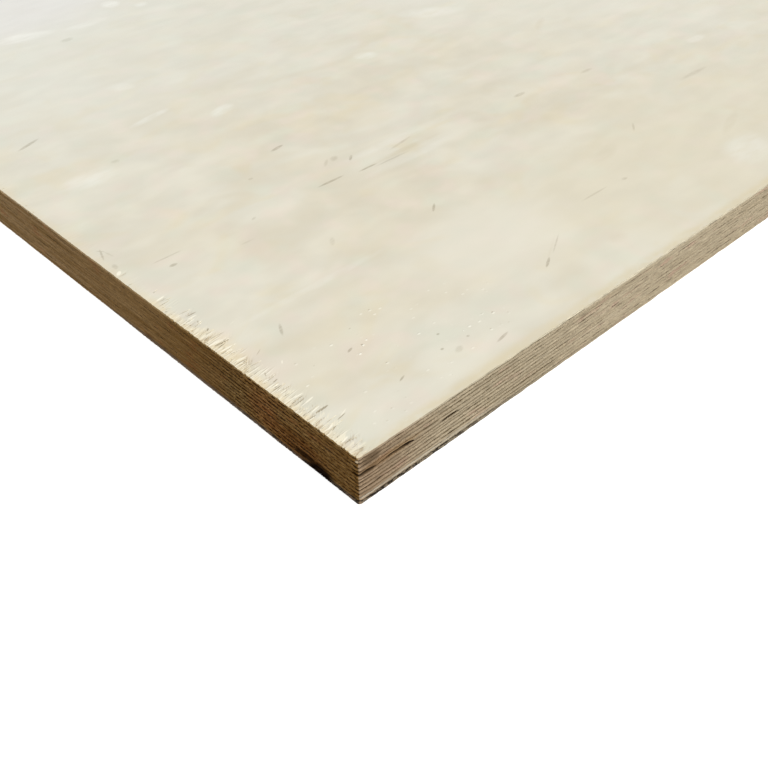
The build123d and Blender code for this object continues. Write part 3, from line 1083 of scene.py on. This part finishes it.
# %% Helpers for geometry trees
def new_tree(name, numbers, materials):
    """An empty geometry tree with named inputs, the sockets that give what comes in, and the
    sockets that take the result."""
    tree = bpy.data.node_groups.new(name, "GeometryNodeTree")
    tree.interface.new_socket("Geometry", in_out="INPUT", socket_type="NodeSocketGeometry")
    tree.interface.new_socket("Geometry", in_out="OUTPUT", socket_type="NodeSocketGeometry")
    for title, kind in (numbers | dict.fromkeys(materials, "Material")).items():
        tree.interface.new_socket(title, in_out="INPUT", socket_type="NodeSocket" + kind)
    return tree, tree.nodes.new("NodeGroupInput").outputs, tree.nodes.new("NodeGroupOutput").inputs


def carried(tree, name, kind="FLOAT"):
    """A value that the mesh carries, inside a geometry tree."""
    made = add(tree, "GeometryNodeInputNamedAttribute", {"Name": name}, data_type=kind)
    return next(socket for socket in made.outputs if socket.enabled)


def painted(tree, geometry, material, chosen=True):
    """Geometry with a material on the chosen faces."""
    plugs = {"Geometry": geometry, "Selection": chosen, "Material": material}
    return add(tree, "GeometryNodeSetMaterial", plugs).outputs[0]


def realized(tree, geometry):
    """Geometry with its instances made real."""
    return add(tree, "GeometryNodeRealizeInstances", {"Geometry": geometry}).outputs[0]


def grown(name, mesh, tree, values):
    """A plain object from a mesh put through a geometry tree, whose inputs are set by name,
    through each socket's identifier."""
    rough = in_scene(bpy.data.objects.new(name + "_rough", mesh))
    modifier = rough.modifiers.new("tree", "NODES")
    modifier.node_group = tree
    for item in tree.interface.items_tree:
        if item.in_out == "INPUT" and item.name in values:
            modifier[item.identifier] = values[item.name]
    depsgraph = bpy.context.evaluated_depsgraph_get()
    evaluated = rough.evaluated_get(depsgraph)
    made = bpy.data.meshes.new_from_object(evaluated, preserve_all_data_layers=True, depsgraph=depsgraph)
    bpy.data.objects.remove(rough)
    piece = in_scene(bpy.data.objects.new(name, made))
    made.name = name
    return piece


print("helpers for trees:", [helper.__name__ for helper in (new_tree, carried, painted, realized, grown)])


# %% What the saw does to each point
def sawn_depth(tree, given, place, ends):
    """How deep the saw went: the wander of the ply, its fibres, and the groove along its glue
    lines, which is deepest at the worn corner."""
    x, y, _ = separated(tree, place)
    seed = given["Seed"]
    side_grain = math(tree, "ABSOLUTE", math(tree, "SUBTRACT", ends, given["Grain along sheet"]))
    wander = between(tree, noise(tree, place, (28, 28, 0), 3, 0.6, 0.0, seed), 0.3, 0.75, -0.5, 0.5)
    short_fibre = between(tree, noise(tree, place, (1.1, 1.1, 0.8), 3, 0.7, 0.0, seed), 0.35, 0.75, -0.5, 0.5)
    long_fibre = between(tree, noise(tree, place, (7, 7, 0.5), 3, 0.7, 0.0, seed), 0.35, 0.75, -0.5, 0.5)
    fibre = mixed(tree, side_grain, short_fibre, long_fibre)
    uneven = between(tree, noise(tree, place, (4, 4, 3), 2, 0.6, 0.0, seed), 0.3, 0.65, 0.35, 1.0)
    to_corner = math(tree, "MAXIMUM", x, y)
    at_corner = between(tree, to_corner, 0.5, 5.0, 3.5, 1.0)
    further_on = between(tree, to_corner, 45.0, 120.0, 1.0, 0.3)
    groove = product(tree, carried(tree, "lip"), uneven, at_corner, further_on)
    parts = ((wander, "Wander"), (fibre, "Fibre depth"), (groove, "Glue groove"))
    return total(tree, *(product(tree, share, given[size]) for share, size in parts))


def fine_tears(tree, given, place):
    """Where fibres are pulled out along the cross-cut ends, where they stand up, and how bad
    the tearing is there, as shares."""
    x, y, _ = separated(tree, place)
    seed = given["Seed"]
    from_end = from_nearer(tree, x, length)
    elsewhere = between(tree, noise(tree, place, (0, 50, 0), 2, 0.5, 0.0, 47.0), 0.5, 0.68, 0.12, 0.8)
    elsewhere = product(tree, elsewhere, between(tree, y, 230.0, 300.0))
    worst = math(tree, "MAXIMUM", between(tree, y, 80.0, 98.0, 1.0, 0.12), elsewhere)
    leant = math(tree, "SUBTRACT", product(tree, y, 1 / 0.95), product(tree, from_end, 0.16))
    strokes = noise(tree, combined(tree, x, leant), (8, 1, 1), 2, 0.6, 0.5, seed)
    strength = between(tree, noise(tree, place, (6, 4, 0), 2, 0.5, 0.0, seed), 0.32, 0.6)
    strength = product(tree, strength, fading(tree, from_end, 3.0, 9.0), worst)
    pulled = product(tree, between(tree, strokes, 0.51, 0.62), strength)
    raised = product(tree, between(tree, strokes, 0.49, 0.38), strength)
    return pulled, raised, worst


def swayed(tree, given, place, inward):
    """How far a glue line sways from level, apart from the two outer arrises."""
    z = separated(tree, place)[2]
    sway = math(tree, "SUBTRACT", noise(tree, place, (14, 14, 3), 3, 0.6, 0.0, 41.0), 0.5)
    free = product(tree, between(tree, z, 0.0, 1.0), fading(tree, z, top / MM - 1.0, top / MM))
    return product(tree, sway, free, given["Glue line sway"], vector(tree, "LENGTH", inward))


print("the saw's work has three parts:", [part.__name__ for part in (sawn_depth, fine_tears, swayed)])


# %% The saw, as a tree of geometry nodes
saw_numbers = (
    "Seed", "Wander", "Fibre depth", "Glue groove",
    "Tear depth", "Ragged edge", "Grain along sheet", "Glue line sway",
)
saw_materials = ("Upper face", "Lower face", "Sawn edge", "Torn rim")


def saw_tree():
    """The tree that saws a blank."""
    tree, given, result = new_tree("saw", dict.fromkeys(saw_numbers, "Float"), saw_materials)
    place = from_worn_corner(tree, add(tree, "GeometryNodeInputPosition").outputs[0])
    ends, give = carried(tree, "ends"), carried(tree, "give")
    inward = carried(tree, "inward", "FLOAT_VECTOR")
    pulled, raised, worst = fine_tears(tree, given, place)
    bite = between(tree, noise(tree, place, (0, 0.9, 0), 2, 0.7, 0.0, given["Seed"]), 0.48, 0.8)
    bite = product(tree, bite, worst, ends, given["Ragged edge"])
    depth = math(tree, "ADD", sawn_depth(tree, given, place, ends), bite)
    push = add(tree, "ShaderNodeVectorMath", {0: inward, "Scale": depth}, operation="SCALE").outputs[0]
    lifted = math(tree, "SUBTRACT", product(tree, raised, 0.35), pulled)
    drop = product(tree, lifted, give, given["Tear depth"])
    rise = math(tree, "ADD", drop, swayed(tree, given, place, inward))
    offset = vector(tree, "ADD", push, combined(tree, z=rise))
    torn = total(tree, carried(tree, "torn"), pulled, product(tree, raised, -1))
    plugs = {"Geometry": given["Geometry"], "Name": "torn", "Value": product(tree, torn, give)}
    kept = add(tree, "GeometryNodeStoreNamedAttribute", plugs, data_type="FLOAT", domain="POINT").outputs[0]
    moved = add(tree, "GeometryNodeSetPosition", {"Geometry": kept, "Offset": offset}).outputs[0]
    upward = separated(tree, add(tree, "GeometryNodeInputNormal").outputs[0])[2]
    compared = {"data_type": "FLOAT", "operation": "GREATER_THAN"}
    up = add(tree, "FunctionNodeCompare", {0: upward, 1: 0.0}, **compared).outputs[0]
    faced = painted(tree, painted(tree, moved, given["Lower face"]), given["Upper face"], up)
    rimmed = painted(tree, realized(tree, faced), given["Torn rim"], carried(tree, "rim", "BOOLEAN"))
    tree.links.new(painted(tree, rimmed, given["Sawn edge"], carried(tree, "sawn", "BOOLEAN")), result[0])
    return tree


saw = saw_tree()
print("the saw has", len(saw.nodes), "nodes")

# %% Thirteen sawn plies
sharp_angle = radians(40)
saw_sizes = {
    "Wander": 0.2 * MM, "Fibre depth": 0.2 * MM, "Glue groove": 0.24 * MM, "Tear depth": 0.26 * MM,
    "Glue line sway": 0.45 * MM, "Torn rim": rim_material,
}

for number, node in enumerate(plies):
    along = node in ("face_veneer", "back_veneer") or node.startswith("long")
    values = saw_sizes | {
        "Seed": 3.7 * number, "Ragged edge": (0.5 if node == "face_veneer" else 0.1) * MM,
        "Grain along sheet": float(along),
        "Upper face": face_material if node == "face_veneer" else glue_material,
        "Lower face": back_material if node == "back_veneer" else glue_material,
        "Sawn edge": long_ply_material if along else cross_ply_material,
    }
    rough_ply = blank(node, near_corner_wear * near_corner_wear_shares[number])
    piece = grown(node + "_sawn", rough_ply, saw, values)
    piece.data.shade_smooth()
    piece.data.set_sharp_from_angle(angle=sharp_angle)
    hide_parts(node)
    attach(piece, "root")
    piece.data.calc_loop_triangles()
    finishes = [material.name for material in piece.data.materials if material]
    print(f"{piece.name}: {len(piece.data.loop_triangles)} triangles, materials {finishes}")

# %% [markdown]
# The saw lifts some fibres instead of cutting them. They stay rooted in the good face beside
# both cross-cut ends: flat splinters a few millimetres long that taper towards the end and curl
# up off the face. All of them are one splinter, placed by a Geometry Nodes tree on the points
# where they are rooted, which are thinned out by chance, and least near the worn corner. The saw
# has cut them off at the end, so each is about as long as the way from its root to the end, or
# shorter.

# %% Where fibres are rooted
root_step = 0.85 * MM
root_seed = 7
root_nearest, root_spread = 0.7, 6.8
root_height = 0.01 * MM
density_elsewhere = 0.3


def root_points():
    """Points beside both ends where fibres are rooted, each with its density and its heading."""
    across = np.arange(0.8 * MM, width, root_step)
    draws = np.random.default_rng(root_seed).uniform(0, 1, (2, len(across)))
    roots = (root_nearest + root_spread * draws ** 1.7) * MM
    level = np.full(len(across), top + root_height)
    near = np.column_stack([sheet_low.x + roots[0], sheet_low.y + across, level])
    far = np.column_stack([sheet_high.x - roots[1], sheet_low.y + across, level])
    patches = density_elsewhere * (0.5 + 0.5 * np.sin(across / (31 * MM)) * np.sin(across / (12.7 * MM) + 1))
    at_corner = np.interp(across, np.array([0, 80, 100, 280, 340]) * MM, [0.75, 0.75, 0.05, 0.05, 0.0])
    near_density = np.maximum(at_corner, patches * (across > 300 * MM))
    mesh = bpy.data.meshes.new("root_points")
    mesh.from_pydata(np.concatenate([near, far]).tolist(), [], [])
    outward = np.concatenate([np.tile((0, 0, radians(180)), (len(across), 1)), np.zeros((len(across), 3))])
    carry(mesh, "density", "FLOAT", "POINT", np.concatenate([near_density, patches]))
    carry(mesh, "heading", "FLOAT_VECTOR", "POINT", outward)
    return mesh


rooted = root_points()
print(len(rooted.vertices), "places for a root")


# %% The tree that sets the splinters
def chance(tree, low, high, seed, kind="FLOAT"):
    """A random value for each point."""
    made = add(tree, "FunctionNodeRandomValue", {"Seed": seed}, data_type=kind)
    limits = [socket for socket in made.inputs if socket.enabled and socket.name in ("Min", "Max")]
    for socket, value in zip(limits, (low, high)):
        socket.default_value = value
    return next(socket for socket in made.outputs if socket.enabled)


def splinter_shape(tree, given):
    """One splinter: a flat stick that tapers and curls up along its length."""
    size = combined(tree, given["Length"], given["Width"], given["Thickness"])
    plugs = {"Size": size, "Vertices X": 6, "Vertices Y": 2, "Vertices Z": 2}
    stick = add(tree, "GeometryNodeMeshCube", plugs).outputs[0]
    x, y, z = separated(tree, add(tree, "GeometryNodeInputPosition").outputs[0])
    run = math(tree, "ADD", math(tree, "DIVIDE", x, given["Length"]), 0.5)
    taper = math(tree, "SUBTRACT", 1.0, product(tree, run, 0.88))
    curled = math(tree, "ADD", product(tree, z, taper), product(tree, run, run, given["Curl"]))
    bent = combined(tree, product(tree, run, given["Length"]), product(tree, y, taper), curled)
    return add(tree, "GeometryNodeSetPosition", {"Geometry": stick, "Position": bent}).outputs[0]


def fibre_tree():
    """The tree that sets splinters on the points of a mesh."""
    numbers = {"Seed": "Int"} | dict.fromkeys(("Length", "Width", "Thickness", "Curl"), "Float")
    tree, given, result = new_tree("lifted fibres", numbers, ["Wood"])
    seed = given["Seed"]
    left_out = math(tree, "GREATER_THAN", chance(tree, 0.0, 1.0, seed), carried(tree, "density"))
    plugs = {"Geometry": given["Geometry"], "Selection": left_out}
    points = add(tree, "GeometryNodeDeleteGeometry", plugs).outputs[0]
    lean = chance(tree, (-0.25, -0.05, -0.1), (0.25, 0.0, 0.42), seed, "FLOAT_VECTOR")
    turn = vector(tree, "ADD", lean, carried(tree, "heading", "FLOAT_VECTOR"))
    root_x = separated(tree, add(tree, "GeometryNodeInputPosition").outputs[0])[0]
    from_end = math(tree, "SUBTRACT", length / 2, math(tree, "ABSOLUTE", root_x))
    scale = chance(tree, (0.35, 0.5, 0.5), (1.02, 1.3, 1.2), seed, "FLOAT_VECTOR")
    along, across, up = separated(tree, scale)
    along = product(tree, along, math(tree, "DIVIDE", from_end, given["Length"]))
    plugs = {"Points": points, "Instance": splinter_shape(tree, given), "Rotation": turn}
    plugs |= {"Scale": combined(tree, along, across, up)}
    placed = add(tree, "GeometryNodeInstanceOnPoints", plugs).outputs[0]
    tree.links.new(painted(tree, realized(tree, placed), given["Wood"]), result[0])
    return tree


fibres_of_the_saw = fibre_tree()
print("the fibres' tree has", len(fibres_of_the_saw.nodes), "nodes")

# %% Lifted fibres
fibre_pattern = ((3, 0.8, 0.8), 2, 0.6, 0.0, 51.0)
fibre_tones = ((0.56, 0.49, 0.35), (0.69, 0.65, 0.52))
fibre_sizes = {"Length": 2.6 * MM, "Width": 0.3 * MM, "Thickness": 0.08 * MM, "Curl": 0.3 * MM}
fibre_material = two_toned("lifted_birch_fibre", fibre_pattern, (0.35, 0.65), fibre_tones, 0.6)[0]

fibre_values = fibre_sizes | {"Seed": 5, "Wood": fibre_material}
fibres = grown("lifted_fibres", rooted, fibres_of_the_saw, fibre_values)
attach(fibres, "root")
fibres.data.calc_loop_triangles()
print(f"{len(fibres.data.vertices) // 24} lifted fibres, {len(fibres.data.loop_triangles)} triangles")

# %% [markdown]
# The last step prints how far the sheet reached as it came and how far it reaches now.

# %% Closing the scene
past_packed = [round((now - packed) / MM, 2) for now, packed in zip(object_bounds()[1], cad_bounds[1])]
print("the finished sheet reaches past the packed one by", past_packed, "mm")
